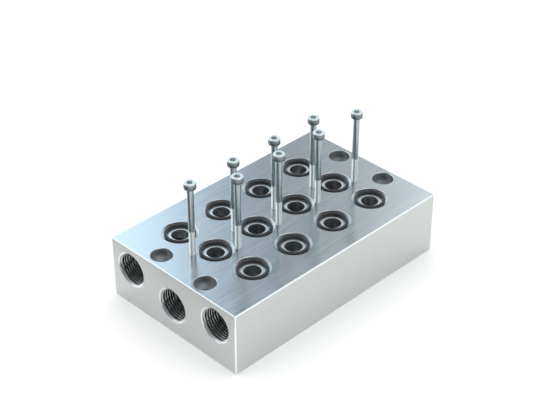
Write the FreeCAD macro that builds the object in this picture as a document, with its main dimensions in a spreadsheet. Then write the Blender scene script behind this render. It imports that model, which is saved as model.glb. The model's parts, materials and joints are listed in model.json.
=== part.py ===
"""Bar manifold: one drilled aluminium block with its valve seal rings and valve screws."""
import FreeCAD, Part
import os
import Sketcher

# Driving dimensions in millimetres and degrees.
# X runs along the bar from its front end, Y across it and Z up; the origin is the middle of the base.
SIZES = {
    "station_count": 4,
    "station_pitch": 25.0,
    "end_margin": 26.0,
    "block_width": 79.0,
    "block_height": 31.5,
    "edge_chamfer": 0.5,
    "column_spacing": 20.75,
    "column_skew": 2.2,
    "port_bore": 8.0,
    "port_seat": 16.5,
    "port_seat_depth": 1.25,
    "gallery_inset": 12.5,
    "gallery_bore": 13.0,
    "outer_gallery_drop": 11.5,
    "middle_gallery_drop": 16.25,
    "end_thread_bore": 14.95,
    "end_thread_depth": 14.0,
    "end_mouth": 17.4,
    "mount_inset": 7.0,
    "mount_row_spacing": 27.8,
    "mount_bore": 5.5,
    "mount_head_bore": 10.0,
    "mount_head_depth": 5.6,
    "tapped_offset_along": 8.7,
    "tapped_offset_across": 5.25,
    "tapped_bore": 2.5,
    "tapped_depth": 8.0,
    "drill_point": 118.0,
    "ring_section": 1.5,
    "ring_outer": 14.5,
    "ring_clearance": 0.05,
    "screw_length": 40.0,
    "screw_thread_length": 18.0,
    "screw_engagement": 6.0,
    "screw_shank": 3.0,
    "screw_thread_clearance": 0.05,
    "screw_head": 5.5,
    "screw_head_height": 3.0,
    "screw_head_edge": 0.3,
    "screw_tip_edge": 0.3,
    "socket_flats": 2.5,
    "socket_depth": 1.5,
}

# Sizes that follow from the driving ones, as formulas of the same sheet.
DERIVED = {
    "block_length": "(station_count - 1) * station_pitch + 2 * end_margin",
    "first_station": "-(station_count - 1) * station_pitch / 2",
    "gallery_offset": "block_width / 2 - gallery_inset",
    "mount_reach": "block_length / 2 - mount_inset",
    "ring_rise": "block_height - port_seat_depth + ring_clearance + ring_section / 2",
    "screw_rise": "block_height - screw_engagement",
    "screw_thread": "tapped_bore - 2 * screw_thread_clearance",
}

SHEET = "Sizes"
STATIONS = int(SIZES["station_count"])
# The valve port columns across the bar, as multiples of column_spacing and column_skew.
COLUMNS = {"a": 1, "b": 0, "c": -1}
# The two tapped holes of a station, on opposite sides of its middle port.
SCREW_SIDES = {"a": -1, "b": 1}


def size(name):
    """The expression that reads one named size from the sheet."""
    return f"{SHEET}.{name}"


def fill_sheet(doc):
    """Write every named size to a spreadsheet, one row each, with its name as the alias."""
    sheet = doc.addObject("Spreadsheet::Sheet", SHEET)
    rows = {**{name: str(value) for name, value in SIZES.items()},
            **{name: "=" + formula for name, formula in DERIVED.items()}}
    for row, (name, content) in enumerate(rows.items(), start=1):
        sheet.set(f"A{row}", name)
        sheet.set(f"B{row}", content)
        sheet.setAlias(f"B{row}", name)
    doc.recompute()
    return sheet


def add_body(doc, name):
    """A body of its own for one piece; its label names the piece's file."""
    body = doc.addObject("PartDesign::Body", name)
    body.Label = name
    return body


def place_body(body, along, across, up):
    """Bind a body's place to three expressions."""
    for axis, expression in zip("xyz", (along, across, up)):
        body.setExpression(f"Placement.Base.{axis}", expression)


def origin_plane(body, role):
    """One of the body's own origin planes, such as XY_Plane."""
    return next(part for part in body.Origin.OriginFeatures if part.Role == role)


def add_sketch(body, name, role, lift=None, shift=None):
    """A sketch on an origin plane, lifted off it and shifted along its second axis by expressions."""
    sketch = body.newObject("Sketcher::SketchObject", name)
    sketch.AttachmentSupport = [(origin_plane(body, role), "")]
    sketch.MapMode = "FlatFace"
    if lift:
        sketch.setExpression("AttachmentOffset.Base.z", lift)
    if shift:
        sketch.setExpression("AttachmentOffset.Base.y", shift)
    return sketch


def measure(item, expression):
    """What an expression comes to with the sheet's present values."""
    return float(item.evalExpression(expression))


def bind(sketch, kind, geometry, vertex, expression):
    """Hold one point of the sketch at a distance from its origin, along X or Y."""
    distance = measure(sketch, expression)
    index = sketch.addConstraint(Sketcher.Constraint(kind, -1, 1, geometry, vertex, distance))
    sketch.setExpression(f"Constraints[{index}]", expression)


def draw_polygon(sketch, corners):
    """A closed outline whose corners are pairs of expressions."""
    count = len(corners)
    points = [FreeCAD.Vector(measure(sketch, x), measure(sketch, y), 0) for x, y in corners]
    for i in range(count):
        sketch.addGeometry(Part.LineSegment(points[i], points[(i + 1) % count]), False)
    for i in range(count):
        sketch.addConstraint(Sketcher.Constraint("Coincident", i, 2, (i + 1) % count, 1))
    for i, (x, y) in enumerate(corners):
        bind(sketch, "DistanceX", i, 1, x)
        bind(sketch, "DistanceY", i, 1, y)


def draw_circle(sketch, x, y, diameter):
    """A circle whose centre and diameter are expressions."""
    centre = FreeCAD.Vector(measure(sketch, x), measure(sketch, y), 0)
    width = measure(sketch, diameter)
    geometry = sketch.addGeometry(Part.Circle(centre, FreeCAD.Vector(0, 0, 1), width / 2), False)
    bind(sketch, "DistanceX", geometry, 3, x)
    bind(sketch, "DistanceY", geometry, 3, y)
    index = sketch.addConstraint(Sketcher.Constraint("Diameter", geometry, width))
    sketch.setExpression(f"Constraints[{index}]", diameter)


def station_place(station, offset):
    """The X of something at an offset (an expression) from the middle port of one station."""
    return f"{size('first_station')} + {station} * {size('station_pitch')} + ({offset})"


def port_offset(column):
    """How far along and across the bar a column's port lies from the station's middle port."""
    side = COLUMNS[column]
    return f"{-side} * {size('column_skew')}", f"{side} * {size('column_spacing')}"


def tapped_offset(side):
    """How far along and across the bar a tapped hole lies from the station's middle port."""
    sign = SCREW_SIDES[side]
    return f"{sign} * {size('tapped_offset_along')}", f"{-sign} * {size('tapped_offset_across')}"


def add_blank(body):
    """The sawn and milled bar, with every outer edge broken by a small chamfer."""
    outline = add_sketch(body, "block_outline", "XY_Plane")
    along, across = f"{size('block_length')} / 2", f"{size('block_width')} / 2"
    draw_polygon(outline, [(f"-{along}", f"-{across}"), (along, f"-{across}"),
                           (along, across), (f"-{along}", across)])
    bar = body.newObject("PartDesign::Pad", "bar")
    bar.Profile = outline
    bar.setExpression("Length", size("block_height"))
    body.Document.recompute()
    edges = [f"Edge{i + 1}" for i in range(len(bar.Shape.Edges))]
    broken = body.newObject("PartDesign::Chamfer", "broken_edges")
    broken.Base = (bar, edges)
    broken.setExpression("Size", size("edge_chamfer"))


def add_gallery(body, name, across, drop):
    """A gallery drilled from end to end, opened out at each end for a pipe thread and countersunk."""
    sketch = add_sketch(body, name + "_profile", "XY_Plane", f"{size('block_height')} - {size(drop)}", across)
    end = f"{size('block_length')} / 2"
    mouth = f"{size('end_mouth')} / 2"
    thread = f"{size('end_thread_bore')} / 2"
    bore = f"{size('gallery_bore')} / 2"
    countersink = f"({mouth} - {thread})"
    point = f"({thread} - {bore}) / tan({size('drill_point')} / 2)"
    rear = [
        (end, "0"),
        (end, mouth),
        (f"{end} - {countersink}", thread),
        (f"{end} - {size('end_thread_depth')}", thread),
        (f"{end} - {size('end_thread_depth')} - {point}", bore),
    ]
    front = [(f"-({x})", y) for x, y in rear]
    draw_polygon(sketch, front + rear[::-1])
    gallery = body.newObject("PartDesign::Groove", name)
    gallery.Profile = sketch
    gallery.ReferenceAxis = (sketch, ["H_Axis"])
    gallery.Angle = 360.0


def add_hole(body, name, centres, sizes, cut_type="None"):
    """Drill one hole at each centre from the top face; sizes maps the hole's properties to size names."""
    sketch = add_sketch(body, name + "_centres", "XY_Plane", size("block_height"))
    for x, y in centres:
        draw_circle(sketch, x, y, size(sizes["Diameter"]))
    body.Document.recompute()
    hole = body.newObject("PartDesign::Hole", name)
    hole.Profile = sketch
    body.Document.recompute()
    hole.Threaded = False
    hole.DepthType = "Dimension" if "Depth" in sizes else "ThroughAll"
    hole.HoleCutType = cut_type
    hole.HoleCutCustomValues = cut_type != "None"
    hole.DrillPoint = "Angled" if "DrillPointAngle" in sizes else "Flat"
    hole.DrillForDepth = False
    for prop, name_of_size in sizes.items():
        hole.setExpression(prop, size(name_of_size))
    return hole


def add_valve_ports(body):
    """The ports and tapped holes of one valve station, repeated along the bar."""
    outer = [port_offset(column) for column in COLUMNS if COLUMNS[column]]
    middle = [port_offset(column) for column in COLUMNS if not COLUMNS[column]]
    tapped = [tapped_offset(side) for side in SCREW_SIDES]

    def at_first(offsets):
        return [(station_place(0, along), across) for along, across in offsets]

    port = {"Diameter": "port_bore", "HoleCutDiameter": "port_seat", "HoleCutDepth": "port_seat_depth",
            "DrillPointAngle": "drill_point"}
    features = [
        add_hole(body, "outer_ports", at_first(outer), {**port, "Depth": "outer_gallery_drop"}, "Counterbore"),
        add_hole(body, "middle_port", at_first(middle), {**port, "Depth": "middle_gallery_drop"}, "Counterbore"),
        add_hole(body, "tapped_holes", at_first(tapped),
                 {"Diameter": "tapped_bore", "Depth": "tapped_depth", "DrillPointAngle": "drill_point"}),
    ]
    stations = body.newObject("PartDesign::LinearPattern", "valve_stations")
    stations.Originals = features
    stations.Direction = (features[0].Profile[0], ["H_Axis"])
    stations.Mode = "Spacing"
    stations.setExpression("Offset", size("station_pitch"))
    stations.setExpression("Occurrences", size("station_count"))
    body.Tip = stations


def add_mounting_holes(body):
    """Four counterbored through holes near the corners, between the galleries."""
    reach = size("mount_reach")
    row = f"{size('mount_row_spacing')} / 2"
    centres = [(f"{sx} * {reach}", f"{sy} * {row}") for sx in (-1, 1) for sy in (-1, 1)]
    add_hole(body, "mounting_holes", centres,
             {"Diameter": "mount_bore", "HoleCutDiameter": "mount_head_bore", "HoleCutDepth": "mount_head_depth"},
             "Counterbore")


def build_block(doc):
    """The machined block with its galleries, valve ports, tapped holes and mounting holes."""
    body = add_body(doc, "manifold_block")
    add_blank(body)
    offset = size("gallery_offset")
    add_gallery(body, "left_gallery", offset, "outer_gallery_drop")
    add_gallery(body, "middle_gallery", "0 mm", "middle_gallery_drop")
    add_gallery(body, "right_gallery", f"-{offset}", "outer_gallery_drop")
    add_valve_ports(body)
    add_mounting_holes(body)
    return body


def build_ring(doc, station, column):
    """One seal ring, lying in the counterbore of its valve port."""
    body = add_body(doc, f"seal_ring_{station + 1}{column}")
    section = add_sketch(body, body.Name + "_section", "XZ_Plane")
    middle = f"({size('ring_outer')} - {size('ring_section')}) / 2"
    draw_circle(section, middle, "0", size("ring_section"))
    ring = body.newObject("PartDesign::Revolution", body.Name + "_turned")
    ring.Profile = section
    ring.ReferenceAxis = (section, ["V_Axis"])
    ring.Angle = 360.0
    along, across = port_offset(column)
    place_body(body, station_place(station, along), across, size("ring_rise"))
    return body


def add_hex_socket(body, rise):
    """A hexagonal socket sunk into the flat top of a screw's head."""
    sketch = add_sketch(body, body.Name + "_flats", "XY_Plane", rise)
    reach = f"{size('socket_flats')} / sqrt(3)"
    draw_polygon(sketch, [(f"{reach} * cos({turn})", f"{reach} * sin({turn})") for turn in range(0, 360, 60)])
    socket = body.newObject("PartDesign::Pocket", body.Name + "_socket")
    socket.Profile = sketch
    socket.setExpression("Length", size("socket_depth"))


def build_screw(doc, station, side):
    """One socket head cap screw, standing on the tip end of its thread in a tapped hole."""
    body = add_body(doc, f"valve_screw_{station + 1}{side}")
    profile = add_sketch(body, body.Name + "_profile", "XZ_Plane")
    thread = f"{size('screw_thread')} / 2"
    shank = f"{size('screw_shank')} / 2"
    head = f"{size('screw_head')} / 2"
    tip_edge, head_edge = size("screw_tip_edge"), size("screw_head_edge")
    under_head = size("screw_length")
    top = f"{under_head} + {size('screw_head_height')}"
    thread_end = size("screw_thread_length")
    draw_polygon(profile, [
        ("0", "0"),
        (f"{thread} - {tip_edge}", "0"),
        (thread, tip_edge),
        (thread, thread_end),
        (shank, f"{thread_end} + {shank} - {thread}"),
        (shank, under_head),
        (head, under_head),
        (head, f"{top} - {head_edge}"),
        (f"{head} - {head_edge}", top),
        ("0", top),
    ])
    turned = body.newObject("PartDesign::Revolution", body.Name + "_turned")
    turned.Profile = profile
    turned.ReferenceAxis = (profile, ["V_Axis"])
    turned.Angle = 360.0
    add_hex_socket(body, top)
    along, across = tapped_offset(side)
    place_body(body, station_place(station, along), across, size("screw_rise"))
    return body


def check_model(doc, pieces):
    """Stop if any object failed to compute or any piece is not one valid solid."""
    for item in doc.Objects:
        if "Invalid" in item.State or "Error" in item.State:
            raise RuntimeError(f"{item.Name} did not compute: {item.State}")
    for piece in pieces:
        shape = piece.Shape
        if shape.isNull() or not shape.isValid() or len(shape.Solids) != 1:
            raise RuntimeError(f"{piece.Label} is not one valid solid")


def main():
    """Build the document and write one STEP file for each piece."""
    doc = FreeCAD.newDocument("bar_manifold")
    fill_sheet(doc)
    pieces = [build_block(doc)]
    pieces += [build_ring(doc, station, column) for station in range(STATIONS) for column in COLUMNS]
    pieces += [build_screw(doc, station, side) for station in range(STATIONS) for side in SCREW_SIDES]
    doc.recompute()
    check_model(doc, pieces)
    os.makedirs("parts", exist_ok=True)
    for piece in pieces:
        piece.Shape.exportStep(os.path.join("parts", piece.Label + ".step"))
        print(piece.Label, round(piece.Shape.Volume, 1))


main()
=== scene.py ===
"""The bar manifold dressed for its picture: its threads, broken edges and finishes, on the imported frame."""

import json
import logging
import math
from dataclasses import dataclass, field
from enum import Enum
from typing import Any, Sequence

import bpy
import numpy as np
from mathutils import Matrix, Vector


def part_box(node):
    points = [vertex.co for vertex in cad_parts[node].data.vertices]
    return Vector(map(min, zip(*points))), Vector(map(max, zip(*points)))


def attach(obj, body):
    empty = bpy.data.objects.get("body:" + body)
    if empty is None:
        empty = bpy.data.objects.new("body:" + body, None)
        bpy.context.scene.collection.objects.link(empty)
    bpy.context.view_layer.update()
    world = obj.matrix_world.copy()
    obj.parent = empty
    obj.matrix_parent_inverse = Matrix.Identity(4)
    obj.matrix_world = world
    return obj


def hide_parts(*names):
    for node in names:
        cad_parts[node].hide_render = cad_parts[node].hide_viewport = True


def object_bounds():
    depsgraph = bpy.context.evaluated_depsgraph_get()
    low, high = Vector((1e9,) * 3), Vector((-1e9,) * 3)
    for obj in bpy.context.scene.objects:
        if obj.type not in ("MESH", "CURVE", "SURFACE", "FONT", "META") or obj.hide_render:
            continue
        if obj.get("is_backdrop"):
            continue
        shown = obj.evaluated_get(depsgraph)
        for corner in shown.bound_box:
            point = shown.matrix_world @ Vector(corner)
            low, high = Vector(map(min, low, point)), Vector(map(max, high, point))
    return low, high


logging.basicConfig(level=logging.INFO, format="%(message)s")
log = logging.getLogger("bar_manifold")

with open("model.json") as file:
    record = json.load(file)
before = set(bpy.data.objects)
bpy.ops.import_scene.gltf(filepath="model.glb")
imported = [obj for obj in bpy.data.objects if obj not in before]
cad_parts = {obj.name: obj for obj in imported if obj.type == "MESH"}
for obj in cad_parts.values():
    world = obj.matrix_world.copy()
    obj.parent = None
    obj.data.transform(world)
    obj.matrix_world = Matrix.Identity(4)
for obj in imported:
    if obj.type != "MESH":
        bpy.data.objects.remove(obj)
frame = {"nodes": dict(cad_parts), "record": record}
CAD_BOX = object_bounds()

MM = 0.001
FULL_TURN = 2 * math.pi
TOOL_AXIS = "tool_axis"

Array = np.ndarray
Pair = tuple[float, float]
Colour = tuple[float, float, float]


class Face(Enum):
    """The kinds of surface on the milled bar, in the order of its material slots."""

    SIDE = 0
    TOP = 1
    EDGE = 2
    SEAT = 3
    BORE = 4
    THREAD = 5


class ScrewFace(Enum):
    """The kinds of surface on a screw, in the order of its material slots."""

    THREAD_AND_SOCKET = 0
    SHANK = 1
    TOP = 2
    KNURL = 3


class Ray(Enum):
    """The kinds of ray that the surroundings answer in their own way, by the light path's outputs."""

    CAMERA = "Is Camera Ray"
    GLOSSY = "Is Glossy Ray"


@dataclass
class Shell:
    """A closed surface as points in millimetres and groups of faces.

    Attributes:
        points: one row of X, Y and Z for each point.
        faces: arrays of point indices, each with its own number of corners.
    """

    points: Array
    faces: list[Array]

    def moved(self, place: Sequence[float]) -> "Shell":
        """The same surface moved by three distances.

        Args:
            place: the distances along X, Y and Z.

        Returns:
            The moved surface.
        """
        return Shell(self.points + np.asarray(place, float), self.faces)

    def laid_along_x(self) -> "Shell":
        """A surface that was turned about Z, laid over so that its axis is X.

        Returns:
            The surface with Z going to X, X to Y and Y to Z.
        """
        return Shell(self.points[:, [2, 0, 1]], self.faces)

    @staticmethod
    def joined(shells: Sequence["Shell"]) -> "Shell":
        """Several surfaces as one, each still closed by itself.

        Args:
            shells: the surfaces.

        Returns:
            One surface with all their points and faces.
        """
        starts = np.cumsum([0] + [len(shell.points) for shell in shells[:-1]])
        faces = [group + start for start, shell in zip(starts, shells) for group in shell.faces]
        return Shell(np.vstack([shell.points for shell in shells]), faces)

    def as_object(self, name: str) -> bpy.types.Object:
        """A Blender object with this surface, at the origin and in metres.

        Args:
            name: the object's name.

        Returns:
            The new object, linked to the scene.
        """
        mesh = bpy.data.meshes.new(name)
        corners = np.concatenate([group.ravel() for group in self.faces]).astype(np.int32)
        counts = np.concatenate([np.full(len(group), group.shape[1]) for group in self.faces])
        starts = np.concatenate([[0], np.cumsum(counts)[:-1]]).astype(np.int32)
        mesh.vertices.add(len(self.points))
        mesh.vertices.foreach_set("co", (self.points * MM).ravel())
        mesh.loops.add(len(corners))
        mesh.loops.foreach_set("vertex_index", corners)
        mesh.polygons.add(len(starts))
        mesh.polygons.foreach_set("loop_start", starts)
        mesh.update(calc_edges=True)
        mesh.validate()
        piece = bpy.data.objects.new(name, mesh)
        bpy.context.scene.collection.objects.link(piece)
        return piece


def turned(radius: Array, height: Array, ends: Pair) -> Shell:
    """A closed surface round the Z axis, from rings of radii.

    Point j of ring i is (r cos t, r sin t, z), with r its own radius, z the ring's height and t the j-th
    equal share of a full turn. A point on the axis closes the first ring and another closes the last.

    Args:
        radius: rings by columns of radii, in the order of the outline, bottom first.
        height: the height of each ring.
        ends: the heights of the two closing points.

    Returns:
        The closed surface, facing outward.
    """
    rows, columns = radius.shape
    angle = np.arange(columns) / columns * FULL_TURN
    rings = np.stack([radius * np.cos(angle), radius * np.sin(angle),
                      np.broadcast_to(height[:, None], radius.shape)], axis=-1).reshape(-1, 3)
    closing = np.array([[0.0, 0.0, ends[0]], [0.0, 0.0, ends[1]]])
    row, column = np.meshgrid(np.arange(rows - 1), np.arange(columns), indexing="ij")
    here = row * columns + column
    beside = row * columns + (column + 1) % columns
    walls = np.stack([here, beside, beside + columns, here + columns], axis=-1).reshape(-1, 4)
    low, high = np.full(columns, len(rings)), np.full(columns, len(rings) + 1)
    first = np.arange(columns)
    last = first + (rows - 1) * columns
    caps = np.vstack([np.stack([low, np.roll(first, -1), first], axis=-1),
                      np.stack([high, last, np.roll(last, -1)], axis=-1)])
    return Shell(np.vstack([rings, closing]), [walls, caps])


def lathe(outline: Sequence[Pair], columns: int) -> Shell:
    """A plain turned surface.

    Args:
        outline: pairs of radius and height, bottom first; the first and last lie on the axis.
        columns: how many flats the full turn has.

    Returns:
        The closed surface.
    """
    pairs = np.array(outline, float)
    middle = pairs[1:-1]
    return turned(np.repeat(middle[:, :1], columns, axis=1), middle[:, 1], (pairs[0, 1], pairs[-1, 1]))


def face_places(mesh: bpy.types.Mesh) -> tuple[Array, Array]:
    """Where a mesh's faces are and which way they look.

    Args:
        mesh: the mesh.

    Returns:
        The faces' middles in millimetres and their normals, one row for each face.
    """
    centre, normal = np.zeros(len(mesh.polygons) * 3), np.zeros(len(mesh.polygons) * 3)
    mesh.polygons.foreach_get("center", centre)
    mesh.polygons.foreach_get("normal", normal)
    return centre.reshape(-1, 3) / MM, normal.reshape(-1, 3)


def mounts(prefix: str) -> list[dict[str, Any]]:
    """The record's mounts of one kind.

    Args:
        prefix: how their names start.

    Returns:
        The mounts, in the record's order.
    """
    return [mount for mount in frame["record"]["mounts"] if mount["name"].startswith(prefix)]


def place_of(mount: dict[str, Any]) -> Array:
    """Where a mount lies.

    Args:
        mount: the record's mount.

    Returns:
        X, Y and Z in millimetres.
    """
    return np.array(mount["pos_m"]) / MM


def eased(x: Array) -> Array:
    """A smooth step: 0 below 0, 1 above 1, and 3x squared less 2x cubed between.

    Args:
        x: the values.

    Returns:
        The stepped values.
    """
    held = np.clip(x, 0.0, 1.0)
    return held * held * (3.0 - 2.0 * held)


@dataclass(frozen=True)
class Thread:
    """A right-handed thread.

    Attributes:
        pitch: the distance from one turn to the next.
        minor: the radius at the bottom of the ridges, seen from the axis.
        major: the radius at their far side.
        flat: the share of half a pitch that is level at either radius.
    """

    pitch: float
    minor: float
    major: float
    flat: float = 0.12

    def radius(self, along: Array, angle: Array, presence: Array) -> Array:
        """The threaded surface as distances from its axis.

        The phase is the distance along in pitches less the angle in turns, so a ridge climbs as it goes
        round. Over one pitch the radius eases from major to minor and back.

        Args:
            along: the distance along the axis of each ring.
            angle: the angle of each column.
            presence: how deep the thread is at each ring, from 0 to 1.

        Returns:
            Rings by columns of radii.
        """
        phase = along[:, None] / self.pitch - angle[None, :] / FULL_TURN
        slope = np.abs(2.0 * (phase % 1.0) - 1.0)
        rise = eased((slope - self.flat) / (1.0 - 2.0 * self.flat))
        return self.minor + (self.major - self.minor) * rise * presence[:, None]


@dataclass(frozen=True)
class Grain:
    """Fine marks that a tool leaves in a surface.

    Attributes:
        stretch: how many marks there are per metre along X, Y and Z.
        depth: how strongly the marks tilt the surface, from 0 to 1.
        spread: how far the roughness and the colour vary with the marks.
        turned: true where the tool turned about an upright axis. The marks then follow the distance from
            that axis, in place of X, and the height.
        height: the height of the marks in millimetres.
        detail: how many finer layers the marks have.
        fineness: how strong each finer layer is against the one before.
        reach: the values between which most of the pattern lies.
        tint: how much the colour varies, as a share of the spread.
    """

    stretch: tuple[float, float, float]
    depth: float
    spread: float
    turned: bool = False
    height: float = 0.02
    detail: float = 3.0
    fineness: float = 0.6
    reach: Pair = (0.3, 0.7)
    tint: float = 0.25

    def coordinates(self, tree: bpy.types.NodeTree) -> bpy.types.NodeSocket:
        """The coordinates that the marks follow.

        For turned marks they are (r, 0, z), with r the level distance from the face's own tool axis.

        Args:
            tree: the material's nodes.

        Returns:
            The socket that gives them.
        """
        place = tree.nodes.new("ShaderNodeTexCoord").outputs["Object"]
        if not self.turned:
            return place
        axis = tree.nodes.new("ShaderNodeAttribute")
        axis.attribute_name = TOOL_AXIS
        away, level, radius = (tree.nodes.new("ShaderNodeVectorMath") for _ in range(3))
        away.operation, level.operation, radius.operation = "SUBTRACT", "MULTIPLY", "LENGTH"
        level.inputs[1].default_value = (1.0, 1.0, 0.0)
        height = tree.nodes.new("ShaderNodeSeparateXYZ")
        about_axis = tree.nodes.new("ShaderNodeCombineXYZ")
        tree.links.new(place, away.inputs[0])
        tree.links.new(axis.outputs["Vector"], away.inputs[1])
        tree.links.new(away.outputs["Vector"], level.inputs[0])
        tree.links.new(level.outputs["Vector"], radius.inputs[0])
        tree.links.new(place, height.inputs["Vector"])
        tree.links.new(radius.outputs["Value"], about_axis.inputs["X"])
        tree.links.new(height.outputs["Z"], about_axis.inputs["Z"])
        return about_axis.outputs["Vector"]

    def pattern(self, tree: bpy.types.NodeTree) -> bpy.types.NodeSocket:
        """The pattern of the marks: noise, drawn out along the way that the tool went.

        Args:
            tree: the material's nodes.

        Returns:
            The socket that gives it, from 0 to 1.
        """
        scale = tree.nodes.new("ShaderNodeMapping")
        scale.inputs["Scale"].default_value = self.stretch
        noise = tree.nodes.new("ShaderNodeTexNoise")
        noise.inputs["Scale"].default_value = 1.0
        noise.inputs["Detail"].default_value = self.detail
        noise.inputs["Roughness"].default_value = self.fineness
        tree.links.new(self.coordinates(tree), scale.inputs["Vector"])
        tree.links.new(scale.outputs["Vector"], noise.inputs["Vector"])
        return noise.outputs["Fac"]

    def varied(self, tree: bpy.types.NodeTree, pattern: bpy.types.NodeSocket, middle: float,
               spread: float) -> bpy.types.NodeSocket:
        """A value that follows the marks.

        Args:
            tree: the material's nodes.
            pattern: the socket that gives the pattern.
            middle: the mean value.
            spread: how far it goes either way, as a share of the mean.

        Returns:
            The socket that gives the value.
        """
        share = tree.nodes.new("ShaderNodeMapRange")
        share.inputs["From Min"].default_value, share.inputs["From Max"].default_value = self.reach
        share.inputs["To Min"].default_value = middle * (1 - spread)
        share.inputs["To Max"].default_value = middle * (1 + spread)
        tree.links.new(pattern, share.inputs["Value"])
        return share.outputs["Result"]

    def cut_into(self, tree: bpy.types.NodeTree, colour: Colour, roughness: float) -> None:
        """Let the marks vary a shader's roughness and colour and tilt its surface.

        Args:
            tree: the material's nodes.
            colour: the mean colour.
            roughness: the mean roughness.
        """
        shader = tree.nodes["Principled BSDF"]
        pattern = self.pattern(tree)
        tree.links.new(self.varied(tree, pattern, roughness, self.spread), shader.inputs["Roughness"])
        tint = tree.nodes.new("ShaderNodeVectorMath")
        tint.operation = "SCALE"
        tint.inputs[0].default_value = colour
        tree.links.new(self.varied(tree, pattern, 1.0, self.spread * self.tint), tint.inputs["Scale"])
        tree.links.new(tint.outputs["Vector"], shader.inputs["Base Color"])
        bump = tree.nodes.new("ShaderNodeBump")
        bump.inputs["Strength"].default_value = self.depth
        bump.inputs["Distance"].default_value = self.height * MM
        tree.links.new(pattern, bump.inputs["Height"])
        tree.links.new(bump.outputs["Normal"], shader.inputs["Normal"])


@dataclass(frozen=True)
class Finish:
    """One surface finish.

    Attributes:
        name: the material's name.
        slot: the record's material slot that the finish belongs to. It is not used.
        colour: the base colour.
        roughness: the mean roughness.
        metallic: 1 for bare metal and 0 for rubber.
        grain: the tool marks, if it has any.
    """

    name: str
    slot: str
    colour: Colour
    roughness: float
    metallic: float = 1.0
    grain: Grain | None = None

    def material(self) -> bpy.types.Material:
        """The Blender material of this finish, made once and then shared.

        Returns:
            The material.
        """
        if self.name in bpy.data.materials:
            return bpy.data.materials[self.name]
        made = bpy.data.materials.new(self.name)
        made.use_nodes = True
        shader = made.node_tree.nodes["Principled BSDF"]
        shader.inputs["Base Color"].default_value = (*self.colour, 1.0)
        shader.inputs["Roughness"].default_value = self.roughness
        shader.inputs["Metallic"].default_value = self.metallic
        if self.grain:
            self.grain.cut_into(made.node_tree, self.colour, self.roughness)
        return made


CUT, TRIM, PLATED = "machined_aluminium", "black_rubber", "zinc_plated_steel"
EVEN = (2500, 2500, 2500)
SIDES = Finish("milled_sides", CUT, (0.57, 0.60, 0.59), 0.38,
               grain=Grain((1500, 1500, 900), depth=0.14, spread=0.25))
TOP = Finish("ground_top", CUT, (0.76, 0.79, 0.81), 0.185,
             grain=Grain((50, 800, 50), depth=0.014, spread=0.12))
# The edges' copy of the aluminium is lighter than the top's: a painted highlight along the bar's broken edges
# and the holes' rims.
EDGES_PAINTED_HIGHLIGHT = Finish("broken_edges", CUT, (0.90, 0.93, 0.94), 0.3,
               grain=Grain((900, 900, 900), depth=0.05, spread=0.15))
SEATS = Finish("counterbored_seats", CUT, (0.80, 0.84, 0.87), 0.3,
               grain=Grain((5000, 0, 5000), depth=0.06, spread=0.25, turned=True))
# The bores' copy of the aluminium is darker than the top's and the seats': painted shade inside the holes.
BORES_PAINTED_SHADE = Finish("drilled_bores", CUT, (0.57, 0.59, 0.60), 0.36,
               grain=Grain((5000, 0, 4000), depth=0.1, spread=0.3, turned=True))
# The threads' copy of the aluminium is darker still: painted shade inside the end ports.
THREADS_PAINTED_SHADE = Finish("cut_threads", CUT, (0.40, 0.41, 0.41), 0.16, grain=Grain(EVEN, depth=0.03, spread=0.2))
RUBBER = Finish("moulded_rubber", TRIM, (0.022, 0.023, 0.026), 0.4, metallic=0.0,
                grain=Grain(EVEN, depth=0.04, spread=0.2))
ZINC = Finish("bright_zinc", PLATED, (0.70, 0.74, 0.745), 0.15, grain=Grain(EVEN, depth=0.03, spread=0.2))
# The shank's copy of the zinc is darker than the thread's: a painted dark reflection down the plain shank.
SHANK_PAINTED_REFLECTION = Finish("drawn_zinc", PLATED, (0.37, 0.425, 0.44), 0.2,
               grain=Grain((3500, 3500, 900), depth=0.12, spread=0.35))
# The head's top takes a lighter copy of the zinc: a painted highlight.
HEAD_TOP_PAINTED_HIGHLIGHT = Finish("faced_zinc", PLATED, (0.83, 0.87, 0.88), 0.42, grain=Grain(EVEN, depth=0.05, spread=0.2))
# The knurl takes the darkest copy of the zinc: painted shade round the head's side.
KNURL_PAINTED_SHADE = Finish("knurled_zinc", PLATED, (0.20, 0.225, 0.235), 0.15,
                 grain=Grain(EVEN, depth=0.05, spread=0.2))


@dataclass
class Piece:
    """One physical piece of the object, standing for one node of the frame.

    Attributes:
        node: the frame's node.
        finish: the finish of the whole piece, or of most of it.
        sharp: the angle in degrees from which an edge stays crisp.
    """

    node: str
    finish: Finish
    sharp: float = 40.0

    def box(self) -> tuple[Array, Array]:
        """The node's two corners.

        Returns:
            The lowest and the highest corner in millimetres.
        """
        low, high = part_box(self.node)
        return np.array(low) / MM, np.array(high) / MM

    def model(self) -> bpy.types.Object:
        """The piece's own shape. Each kind of piece makes its own.

        Returns:
            The object, at the origin.
        """
        raise NotImplementedError

    def dress(self, piece: bpy.types.Object) -> None:
        """Give the piece its material and smooth shading.

        Args:
            piece: the object.
        """
        piece.data.materials.append(self.finish.material())
        piece.data.polygons.foreach_set("use_smooth", np.ones(len(piece.data.polygons), dtype=bool))
        piece.data.set_sharp_from_angle(angle=math.radians(self.sharp))

    def build(self) -> bpy.types.Object:
        """Model, dress and attach the piece.

        Returns:
            The finished object.
        """
        piece = self.model()
        self.dress(piece)
        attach(piece, "root")
        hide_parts(self.node)
        log.info("%s: %d faces", piece.name, len(piece.data.polygons))
        return piece


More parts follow.
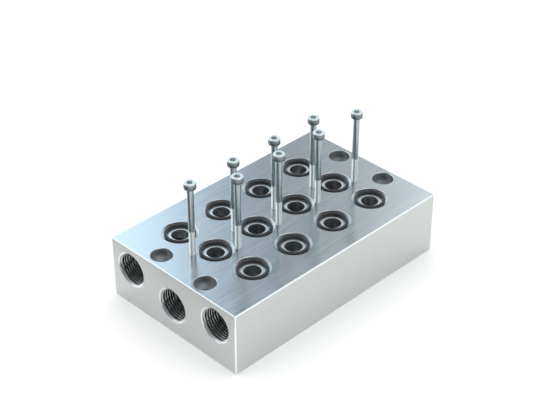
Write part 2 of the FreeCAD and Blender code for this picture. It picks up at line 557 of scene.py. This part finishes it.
@dataclass(frozen=True)
class BoreSizes:
    """The sizes of the bar's holes that the record's mounts don't give, in millimetres and radians.

    Attributes:
        seat_radius: the counterbores of the valve ports.
        seat_depth: their depth.
        head_radius: the counterbores of the mounting holes.
        head_depth: their depth.
        tapped_radius: the tapped holes, just wider than the screws' threads.
        tapped_depth: their depth.
        gallery_radius: the galleries between their threaded ends.
        mouth_radius: the countersinks of the galleries' ends.
        thread_depth: how far the end threads reach in.
        edge: the broken edges of the holes.
        rim: how far below the top face those edges are dressed as edges.
        bar_edge: the broken edges of the bar.
        over: how far a cutting shape runs past the bar's faces.
        point: half of the drills' point angle.
        sink: half of the countersink's angle.
    """

    seat_radius: float = 8.25
    seat_depth: float = 1.25
    head_radius: float = 5.0
    head_depth: float = 5.6
    tapped_radius: float = 1.46
    tapped_depth: float = 8.0
    gallery_radius: float = 6.5
    mouth_radius: float = 8.7
    thread_depth: float = 14.0
    edge: float = 0.18
    rim: float = 0.3
    bar_edge: float = 0.5
    over: float = 1.0
    point: float = math.radians(59.0)
    sink: float = math.radians(60.0)


@dataclass
class ManifoldBlock(Piece):
    """The milled bar with its galleries, ports and holes cut out of it.

    Attributes:
        holes: the sizes of its holes.
        thread: the pipe thread of its end ports.
        columns: how many flats a full turn of a port or a gallery has.
        tapped_columns: how many one of a tapped hole has.
        rings_per_turn: how many rings one turn of the thread has.
        slack: how far off a surface its faces' middles may lie, in millimetres.
        flat_slack: the same for the bar's flat faces.
        flat_cosine: how closely the flat faces look along an axis.
    """

    holes: BoreSizes = field(default_factory=BoreSizes)
    thread: Thread = Thread(pitch=1.337, minor=7.475, major=8.331)
    columns: int = 88
    tapped_columns: int = 40
    rings_per_turn: int = 11
    slack: float = 0.1
    flat_slack: float = 0.02
    flat_cosine: float = 0.999

    def mouth(self, radius: float, top: float) -> list[Pair]:
        """The upper end of a hole's outline, with its edge broken and running past the face.

        Args:
            radius: the hole's radius.
            top: the height of the face.

        Returns:
            Pairs of radius and height.
        """
        edge, over = self.holes.edge, self.holes.over
        return [(radius, top - edge), (radius + edge + over, top + over), (0, top + over)]

    def port(self, radius: float, top: float, floor: float) -> Shell:
        """A counterbored port, down to its drill point.

        Args:
            radius: the port's radius.
            top: the height of the bar's top face.
            floor: the height where the drill point starts.

        Returns:
            The cutting shape.
        """
        h = self.holes
        step = top - h.seat_depth
        return lathe([(0, floor - radius / math.tan(h.point)), (radius, floor), (radius, step - h.edge / 2),
                      (radius + h.edge / 2, step), (h.seat_radius, step), *self.mouth(h.seat_radius, top)],
                     self.columns)

    def fixing(self, radius: float, top: float) -> Shell:
        """A counterbored hole right through the bar.

        Args:
            radius: the through hole's radius.
            top: the height of the bar's top face.

        Returns:
            The cutting shape.
        """
        h = self.holes
        step = top - h.head_depth
        return lathe([(0, -h.over), (radius + h.edge + h.over, -h.over), (radius, h.edge), (radius, step),
                      (h.head_radius, step), *self.mouth(h.head_radius, top)], self.columns)

    def tapped(self, top: float) -> Shell:
        """A small tapped hole.

        Args:
            top: the height of the bar's top face.

        Returns:
            The cutting shape.
        """
        h = self.holes
        floor = top - h.tapped_depth
        return lathe([(0, floor - h.tapped_radius / math.tan(h.point)), (h.tapped_radius, floor),
                      *self.mouth(h.tapped_radius, top)], self.tapped_columns)

    def gallery(self, half: float) -> Shell:
        """A gallery from end to end, threaded and countersunk at both ends.

        At a depth from an end the wall's radius is that of the thread or of the countersink, whichever is
        more. The thread fades over its last turn.

        Args:
            half: half of the bar's length.

        Returns:
            The cutting shape, along X.
        """
        h = self.holes
        count = round(h.thread_depth / self.thread.pitch * self.rings_per_turn)
        depth = np.linspace(0.0, h.thread_depth, count)
        angle = np.arange(self.columns) / self.columns * FULL_TURN
        presence = 1.0 - eased((depth - h.thread_depth) / self.thread.pitch + 1.0)
        sink = (h.mouth_radius - depth * math.tan(h.sink))[:, None]
        front = np.maximum(self.thread.radius(depth - half, angle, presence), sink)
        rear = np.maximum(self.thread.radius(half - depth, angle, presence), sink)
        throat = h.thread_depth + (self.thread.minor - h.gallery_radius) / math.tan(h.point)
        plain = np.full((1, self.columns), h.gallery_radius)
        flare = np.full((1, self.columns), h.mouth_radius + h.over)
        radius = np.vstack([flare, front, plain, plain, rear[::-1], flare])
        along = np.concatenate([[-half - h.over], depth - half, [throat - half, half - throat],
                                (half - depth)[::-1], [half + h.over]])
        return turned(radius, along, (along[0], along[-1])).laid_along_x()

    def cutters(self) -> tuple[Shell, Shell]:
        """Everything that is drilled from the top, and everything that is drilled from the ends.

        Returns:
            The two cutting shapes.
        """
        half, _, top = self.box()[1]
        galleries = [place_of(mount) for mount in mounts("front_port")]
        level = [self.gallery(half).moved((0, *axis[1:])) for axis in galleries]
        fixing = self.fixing(mounts("mounting_holes")[0]["dims"]["hole_r_mm"], top)
        upright = [fixing.moved((*axis, 0)) for axis in self.fixing_axes()]
        for mount in mounts("valve_port"):
            place = place_of(mount)
            floor = min(galleries, key=lambda axis: abs(axis[1] - place[1]))[2]
            upright.append(self.port(mount["dims"]["r_mm"], top, floor).moved((*place[:2], 0)))
        for node in sorted(frame["nodes"]):
            if node.startswith("valve_screw"):
                middle = sum(np.array(corner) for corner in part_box(node)) / 2 / MM
                upright.append(self.tapped(top).moved((*middle[:2], 0)))
        return Shell.joined(upright), Shell.joined(level)

    def blank(self) -> Shell:
        """The bar before its edges are broken and its holes are drilled.

        Returns:
            A plain box, facing outward.
        """
        low, high = self.box()
        corner = np.array(np.meshgrid([0, 1], [0, 1], [0, 1], indexing="ij")).reshape(3, -1).T
        faces = np.array([[0, 1, 3, 2], [4, 6, 7, 5], [0, 4, 5, 1],
                          [2, 3, 7, 6], [0, 2, 6, 4], [1, 5, 7, 3]])
        return Shell(low + corner * (high - low), [faces])

    def model(self) -> bpy.types.Object:
        """The bar with its edges broken and everything drilled out of it.

        Returns:
            The milled block.
        """
        bar = self.blank().as_object("bar_blank")
        bevel = bar.modifiers.new("broken_edges", "BEVEL")
        bevel.width, bevel.segments, bevel.limit_method = self.holes.bar_edge * MM, 2, "NONE"
        cutters = [shell.as_object(f"cutter_{i}") for i, shell in enumerate(self.cutters())]
        for cutter in cutters:
            cut = bar.modifiers.new(cutter.name, "BOOLEAN")
            cut.operation, cut.solver, cut.object = "DIFFERENCE", "MANIFOLD", cutter
        evaluated = bar.evaluated_get(bpy.context.evaluated_depsgraph_get())
        block = bpy.data.objects.new("manifold_block_milled", bpy.data.meshes.new_from_object(evaluated))
        bpy.context.scene.collection.objects.link(block)
        for spent in (bar, *cutters):
            bpy.data.objects.remove(spent)
        return block

    def fixing_axes(self) -> Array:
        """Where the mounting holes stand: at the corners of the record's bolt pattern.

        Returns:
            One row of X and Y in millimetres for each.
        """
        dims = mounts("mounting_holes")[0]["dims"]
        reach = np.array([dims["spacing_x_mm"], dims["spacing_y_mm"]]) / 2
        return reach * [(sx, sy) for sx in (-1, 1) for sy in (-1, 1)]

    def upright_axes(self) -> Array:
        """Where the counterbored holes and ports stand.

        Returns:
            One row of X and Y in millimetres for each.
        """
        return np.vstack([self.fixing_axes(), [place_of(mount)[:2] for mount in mounts("valve_port")]])

    def in_gallery(self, centre: Array) -> Array:
        """Which faces belong to the galleries, by their distance from the galleries' axes.

        Args:
            centre: the middles of the faces in millimetres.

        Returns:
            True for each such face.
        """
        axes = [place_of(mount)[1:] for mount in mounts("front_port")]
        away = np.min([np.linalg.norm(centre[:, 1:] - axis, axis=1) for axis in axes], axis=0)
        return away < self.holes.mouth_radius + self.slack

    def dress(self, piece: bpy.types.Object) -> None:
        """Give each face the finish of its kind, and keep the flat faces flat.

        The end ports' countersinks are as bright as the counterbores, so they share the seats' finish. The
        edges' finish is lighter than the top's, a painted highlight, and the bores' and the threads' are
        darker, painted shade.

        Args:
            piece: the milled block.
        """
        mesh = piece.data
        mesh.materials.clear()
        for finish in (SIDES, TOP, EDGES_PAINTED_HIGHLIGHT, SEATS, BORES_PAINTED_SHADE, THREADS_PAINTED_SHADE):
            mesh.materials.append(finish.material())
        centre, normal = face_places(mesh)
        low, high = self.box()
        depth = np.minimum(centre - low, high - centre)
        along, below = depth[:, 0], high[2] - centre[:, 2]
        flat = ((np.abs(depth) < self.flat_slack) & (np.abs(normal) > self.flat_cosine)).any(axis=1)
        drilled = self.in_gallery(centre)
        near_edge = np.sort(depth, axis=1)[:, 1] < self.holes.bar_edge
        # Every face not sorted otherwise, the holes' walls and drill points, takes the bores' darker finish:
        # painted shade.
        kind = np.full(len(centre), Face.BORE.value)
        kind[below < self.holes.seat_depth + self.slack] = Face.SEAT.value
        # The end ports' threaded walls take the threads' darker finish: painted shade.
        kind[drilled & (along < self.holes.thread_depth + self.holes.over)] = Face.THREAD.value
        kind[drilled & (along < self.thread.pitch / 2)] = Face.SEAT.value
        # Faces at the rims and along the bar's edges take the lighter finish: a painted highlight.
        kind[(below < self.holes.rim) | near_edge] = Face.EDGE.value
        kind[flat] = Face.SIDE.value
        kind[flat & (normal[:, 2] > self.flat_cosine)] = Face.TOP.value
        mesh.polygons.foreach_set("material_index", kind.astype(np.int32))
        mesh.set_sharp_from_angle(angle=math.radians(self.sharp))
        mesh.polygons.foreach_set("use_smooth", ~flat)
        axes = self.upright_axes()
        nearest = np.argmin(np.linalg.norm(centre[:, None, :2] - axes[None], axis=2), axis=1)
        tool_axis = np.column_stack([axes[nearest], np.zeros(len(centre))]) * MM
        mesh.attributes.new(TOOL_AXIS, "FLOAT_VECTOR", "FACE").data.foreach_set("vector", tool_axis.ravel())


@dataclass
class SealRing(Piece):
    """One moulded seal ring, lying in its counterbore.

    Attributes:
        columns: how many flats the ring has round its axis.
        rows: how many its round section has.
    """

    columns: int = 96
    rows: int = 28

    def model(self) -> bpy.types.Object:
        """A round ring that fills its node's box.

        Returns:
            The ring.
        """
        low, high = self.box()
        section = (high[2] - low[2]) / 2
        middle = (high[0] - low[0]) / 2 - section
        around, about = np.meshgrid(np.arange(self.rows) / self.rows * FULL_TURN,
                                    np.arange(self.columns) / self.columns * FULL_TURN, indexing="ij")
        radius = middle + section * np.cos(around)
        height = section * np.sin(around)
        points = np.stack([radius * np.cos(about), radius * np.sin(about), height], axis=-1)
        row, column = np.meshgrid(np.arange(self.rows), np.arange(self.columns), indexing="ij")
        up, beside = (row + 1) % self.rows, (column + 1) % self.columns
        corners = [row * self.columns + column, row * self.columns + beside,
                   up * self.columns + beside, up * self.columns + column]
        faces = np.stack(corners, axis=-1).reshape(-1, 4)
        ring = Shell(points.reshape(-1, 3), [faces]).moved((low + high) / 2)
        return ring.as_object(self.node + "_moulded")


@dataclass
class ValveScrew(Piece):
    """One socket head cap screw with its rolled thread, knurled head and hexagon socket.

    Attributes:
        thread: its thread.
        thread_length: the thread's length, in millimetres as all its sizes.
        tip: the radius of its flat tip.
        shank: the radius of its plain shank.
        head: the radius of its head.
        head_height: the head's height.
        head_edge: the bevel of the head's upper edge.
        foot: how far the head's lower edge is drawn in, and over what height.
        flats: the socket's width across flats.
        socket_depth: the socket's depth.
        socket_edge: the bevel of the socket's mouth.
        drill: the radius and the depth of the drill point in the socket's floor.
        socket_reach: a radius that just takes in the socket's corners.
        ridges: how many ridges the knurl has.
        ridge_depth: their depth.
        ridge_fade: the height over which they start.
        columns: how many flats the thread has round its axis.
        rings_per_turn: how many rings one turn of it has.
        sunk: how far the shank goes on inside the head.
        upward: how steeply a face of the head's top may look up at the least.
    """

    thread: Thread = Thread(pitch=0.5, minor=1.2, major=1.43)
    thread_length: float = 18.0
    tip: float = 0.95
    shank: float = 1.5
    head: float = 2.75
    head_height: float = 3.0
    head_edge: float = 0.3
    foot: Pair = (0.2, 0.12)
    flats: float = 2.5
    socket_depth: float = 1.5
    socket_edge: float = 0.1
    drill: Pair = (1.1, 0.5)
    socket_reach: float = 1.5
    ridges: int = 40
    ridge_depth: float = 0.1
    ridge_fade: float = 0.1
    columns: int = 40
    rings_per_turn: int = 8
    sunk: float = 0.4
    upward: float = 0.5

    def rod(self, under_head: float) -> Shell:
        """The thread and the plain shank above it, from the tip to just inside the head.

        Args:
            under_head: the height of the head's underside over the tip.

        Returns:
            The closed surface, standing on its tip.
        """
        along = np.arange(0.0, self.thread_length, self.thread.pitch / self.rings_per_turn)
        angle = np.arange(self.columns) / self.columns * FULL_TURN
        presence = 1.0 - eased((along - self.thread_length) / self.thread.pitch / 2 + 1.0)
        threaded = np.minimum(self.thread.radius(along, angle, presence), self.tip + along[:, None])
        plain = np.full((3, len(angle)), self.shank)
        plain[0] = self.thread.minor
        shoulder = self.thread_length + self.shank - self.thread.minor
        end = under_head + self.sunk
        height = np.concatenate([along, [self.thread_length, shoulder, end]])
        return turned(np.vstack([threaded, plain]), height, (0.0, end))

    def cap(self, under_head: float) -> Shell:
        """The head: straight ridges round its side, a bevelled top and a drilled hexagon socket.

        The hexagon's radius at an angle t is half of its width across flats over the cosine of t measured
        from the middle of the nearest flat.

        Args:
            under_head: the height of the head's underside.

        Returns:
            The closed surface.
        """
        columns = self.ridges * 4
        angle = np.arange(columns) / columns * FULL_TURN
        saw = np.abs(2.0 * (angle / FULL_TURN * self.ridges % 1.0) - 1.0)
        ridged = self.head - self.ridge_depth * saw
        sixth = FULL_TURN / 6
        hexagon = self.flats / 2 / np.cos(angle % sixth - sixth / 2)
        circle = np.ones(columns)
        valley = circle * (self.head - self.ridge_depth)
        top = under_head + self.head_height
        floor = top - self.socket_depth
        inset, rise = self.foot
        drill_radius, drill_depth = self.drill
        rows = [
            (circle * (self.head - inset), under_head),
            (valley, under_head + rise),
            (ridged, under_head + rise + self.ridge_fade),
            (ridged, top - self.head_edge - rise),
            (valley, top - self.head_edge),
            (circle * (self.head - self.head_edge), top),
            (hexagon + self.socket_edge, top),
            (hexagon, top - self.socket_edge),
            (hexagon, floor),
            (circle * drill_radius, floor),
        ]
        radius = np.array([row[0] for row in rows])
        height = np.array([row[1] for row in rows])
        return turned(radius, height, (under_head, floor - drill_depth))

    def model(self) -> bpy.types.Object:
        """The whole screw, standing on its tip where its node is.

        Returns:
            The screw.
        """
        low, high = self.box()
        middle = (low + high) / 2
        under_head = high[2] - low[2] - self.head_height
        screw = Shell.joined([self.rod(under_head), self.cap(under_head)])
        return screw.moved((middle[0], middle[1], low[2])).as_object(self.node + "_rolled")

    def dress(self, piece: bpy.types.Object) -> None:
        """Give each face the finish of its kind: a lighter zinc on the head's top as a painted highlight, a
        darker one on the shank as a painted reflection and the darkest on the knurl as painted shade.

        Args:
            piece: the screw.
        """
        super().dress(piece)
        mesh = piece.data
        # The shank's, the head top's and the knurl's finishes are darker and lighter copies of one zinc:
        # painted reflection, highlight and shade.
        for finish in (SHANK_PAINTED_REFLECTION, HEAD_TOP_PAINTED_HIGHLIGHT, KNURL_PAINTED_SHADE):
            mesh.materials.append(finish.material())
        centre, normal = face_places(mesh)
        low, high = self.box()
        below = high[2] - centre[:, 2]
        away = np.linalg.norm(centre[:, :2] - (low + high)[:2] / 2, axis=1)
        socket = (below < self.socket_depth + self.drill[1]) & (away < self.socket_reach)
        kind = np.full(len(centre), ScrewFace.THREAD_AND_SOCKET.value)
        # The plain shank takes the darker copy of the zinc: a painted dark reflection.
        kind[(below < high[2] - low[2] - self.thread_length) & ~socket] = ScrewFace.SHANK.value
        # The head's ridged side takes the darkest copy of the zinc: painted shade.
        kind[(below < self.head_height) & (away > self.socket_reach)] = ScrewFace.KNURL.value
        # The upward faces of the head's top take the lighter copy: a painted highlight.
        kind[(below < self.socket_depth / 2) & (normal[:, 2] > self.upward)] = ScrewFace.TOP.value
        mesh.polygons.foreach_set("material_index", kind.astype(np.int32))


@dataclass(frozen=True)
class Surroundings:
    """The studio round the object: a white floor and a soft sky whose brightness varies with its bearing.

    Attributes:
        bearings: stops of the sky's colour as mirrored in metal: a bearing in degrees from X and a colour.
        diffuse: how bright the sky is for matt surfaces.
        floor: the floor's colour.
        card: the corners of a dark card on the floor before the bar's front end, in millimetres. Only
            mirrored light sees it, so it shades one side of the bright screws.
        card_colour: its colour.
        floor_drop: how far below the object's base the floor lies, in millimetres.
        card_drop: how far below it the card lies.
        reach: how far the floor goes on each way.
        paint: the roughness of the floor and the card.
    """

    bearings: tuple[tuple[float, Colour], ...] = (
        (-180.0, (0.24, 0.26, 0.28)),
        (-162.0, (0.24, 0.26, 0.28)),
        (-144.0, (0.55, 0.58, 0.60)),
        (-100.0, (0.95, 0.98, 1.00)),
        (-60.0, (0.72, 0.76, 0.77)),
        (-35.0, (0.60, 0.64, 0.66)),
        (10.0, (0.95, 0.98, 1.00)),
        (30.0, (1.15, 1.26, 1.30)),
        (35.5, (1.10, 1.21, 1.26)),
        (39.5, (0.49, 0.53, 0.55)),
        (42.0, (0.36, 0.39, 0.41)),
        (46.3, (0.27, 0.29, 0.32)),
        (49.0, (0.44, 0.54, 0.63)),
        (51.5, (0.98, 1.29, 1.50)),
        (62.0, (1.08, 1.28, 1.38)),
        (134.0, (1.15, 1.18, 1.20)),
        (152.0, (0.66, 0.69, 0.70)),
        (170.0, (0.24, 0.26, 0.28)),
        (180.0, (0.24, 0.26, 0.28)),
    )
    diffuse: float = 1.35
    floor: float = 0.9
    card: tuple[Pair, Pair] = ((-240.0, -30.0), (-99.0, 130.0))
    card_colour: float = 0.12
    floor_drop: float = 0.05
    card_drop: float = 0.03
    reach: float = 6000.0
    paint: float = 0.9

    def ramp(self, nodes: bpy.types.Nodes) -> bpy.types.ShaderNode:
        """The sky's stops over a full turn.

        Args:
            nodes: the world's nodes.

        Returns:
            A colour ramp that runs from the first bearing at 0 to the last at 1.
        """
        ramp = nodes.new("ShaderNodeValToRGB")
        ramp.color_ramp.interpolation = "EASE"
        first, last = self.bearings[0][0], self.bearings[-1][0]
        while len(ramp.color_ramp.elements) < len(self.bearings):
            ramp.color_ramp.elements.new(0.5)
        for element, (degrees, colour) in zip(ramp.color_ramp.elements, self.bearings):
            element.position = (degrees - first) / (last - first)
            element.color = (*colour, 1.0)
        return ramp

    def sky(self) -> None:
        """Make the world: white to the camera, the stops to a glossy ray, and even light to the rest."""
        world = bpy.data.worlds.new("studio")
        bpy.context.scene.world = world
        world.use_nodes = True
        nodes, links = world.node_tree.nodes, world.node_tree.links
        background = nodes["Background"]
        place = nodes.new("ShaderNodeTexCoord")
        split = nodes.new("ShaderNodeSeparateXYZ")
        bearing = nodes.new("ShaderNodeMath")
        bearing.operation = "ARCTAN2"
        share = nodes.new("ShaderNodeMapRange")
        share.inputs["From Min"].default_value = math.radians(self.bearings[0][0])
        share.inputs["From Max"].default_value = math.radians(self.bearings[-1][0])
        ramp = self.ramp(nodes)
        path = nodes.new("ShaderNodeLightPath")
        glossy, camera = nodes.new("ShaderNodeMixRGB"), nodes.new("ShaderNodeMixRGB")
        glossy.inputs["Color1"].default_value = (self.diffuse, self.diffuse, self.diffuse, 1.0)
        camera.inputs["Color2"].default_value = (1.0, 1.0, 1.0, 1.0)
        links.new(place.outputs["Generated"], split.inputs["Vector"])
        links.new(split.outputs["Y"], bearing.inputs[0])
        links.new(split.outputs["X"], bearing.inputs[1])
        links.new(bearing.outputs["Value"], share.inputs["Value"])
        links.new(share.outputs["Result"], ramp.inputs["Fac"])
        links.new(path.outputs[Ray.GLOSSY.value], glossy.inputs["Fac"])
        links.new(ramp.outputs["Color"], glossy.inputs["Color2"])
        links.new(path.outputs[Ray.CAMERA.value], camera.inputs["Fac"])
        links.new(glossy.outputs["Color"], camera.inputs["Color1"])
        links.new(camera.outputs["Color"], background.inputs["Color"])

    def sheet(self, name: str, corners: tuple[Pair, Pair], drop: float, grey: float) -> bpy.types.Object:
        """A matt rectangle that lies level under the object and isn't part of it.

        Args:
            name: its name.
            corners: its lowest and highest X and Y in millimetres.
            drop: how far it lies below the object's base.
            grey: its colour.

        Returns:
            The rectangle.
        """
        low, high = np.array(corners)
        share = np.array([[0, 0], [1, 0], [1, 1], [0, 1]])
        points = np.column_stack([low + share * (high - low), np.full(4, -drop)])
        laid = Shell(points, [np.array([[0, 1, 2, 3]])]).as_object(name)
        paint = Finish(name + "_paint", "", (grey, grey, grey), self.paint, metallic=0.0)
        laid.data.materials.append(paint.material())
        laid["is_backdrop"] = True
        return laid

    def ground(self) -> None:
        """Lay the floor, and the dark card that only mirrored light sees."""
        far = self.reach
        self.sheet("studio_floor", ((-far, -far), (far, far)), self.floor_drop, self.floor)
        card = self.sheet("studio_card", self.card, self.card_drop, self.card_colour)
        card.visible_camera = card.visible_diffuse = False
        card.visible_shadow = card.visible_transmission = False


@dataclass(frozen=True)
class Viewpoint:
    """The camera, as fitted to the photograph.

    Attributes:
        place: where it stands, in millimetres.
        bearing: the direction it faces, in degrees from X towards Y.
        dip: how far it looks down, in degrees.
        focal: its focal length in pixels of a picture of the stated width.
        width: that width in pixels.
        sensor: the width of its sensor in millimetres.
        clip: the nearest and the farthest that it sees, in metres.
    """

    place: tuple[float, float, float] = (-364.4719, -363.7432, 391.1037)
    bearing: float = 45.0199
    dip: float = 34.5529
    focal: float = 1393.5246
    width: float = 550.0
    sensor: float = 36.0
    clip: Pair = (0.01, 50.0)

    def build(self) -> bpy.types.Object:
        """Make the scene's camera.

        Returns:
            The camera.
        """
        data = bpy.data.cameras.new("viewpoint")
        data.sensor_fit, data.sensor_width = "HORIZONTAL", self.sensor
        data.lens = self.focal / self.width * self.sensor
        data.clip_start, data.clip_end = self.clip
        camera = bpy.data.objects.new("viewpoint", data)
        bearing, dip = math.radians(self.bearing), math.radians(self.dip)
        level = math.cos(dip)
        ahead = Vector((level * math.cos(bearing), level * math.sin(bearing), -math.sin(dip)))
        camera.location = Vector(self.place) * MM
        camera.rotation_mode = "QUATERNION"
        camera.rotation_quaternion = ahead.to_track_quat("-Z", "Y")
        bpy.context.scene.collection.objects.link(camera)
        bpy.context.scene.camera = camera
        return camera


@dataclass
class Manifold:
    """The whole object, piece by piece.

    Attributes:
        block: the piece that carries all the others.
    """

    block: ManifoldBlock = field(default_factory=lambda: ManifoldBlock("manifold_block", SIDES))

    def pieces(self) -> list[Piece]:
        """Every piece, in the order of the frame's nodes.

        Returns:
            The pieces.
        """
        kinds: dict[str, Any] = {"seal_ring": (SealRing, RUBBER), "valve_screw": (ValveScrew, ZINC)}
        found: list[Piece] = [self.block]
        for node in sorted(frame["nodes"]):
            for prefix, (kind, finish) in kinds.items():
                if node.startswith(prefix):
                    found.append(kind(node, finish))
        return found

    def build(self) -> list[bpy.types.Object]:
        """Build every piece.

        Returns:
            The finished objects.
        """
        return [piece.build() for piece in self.pieces()]


def write_sizes() -> None:
    """Turn the frame's box and the dressed object's box into plain lists of metres, which nothing keeps."""
    boxes = {"cad": CAD_BOX, "scene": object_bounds()}
    boxes = {name: [list(corner) for corner in box] for name, box in boxes.items()}


def main() -> None:
    """Build the object, the studio round it and the camera."""
    bpy.context.scene.view_settings.view_transform = "Standard"
    made = Manifold().build()
    log.info("%d pieces", len(made))
    studio = Surroundings()
    studio.sky()
    studio.ground()
    Viewpoint().build()
    write_sizes()


if __name__ == "__main__":
    main()
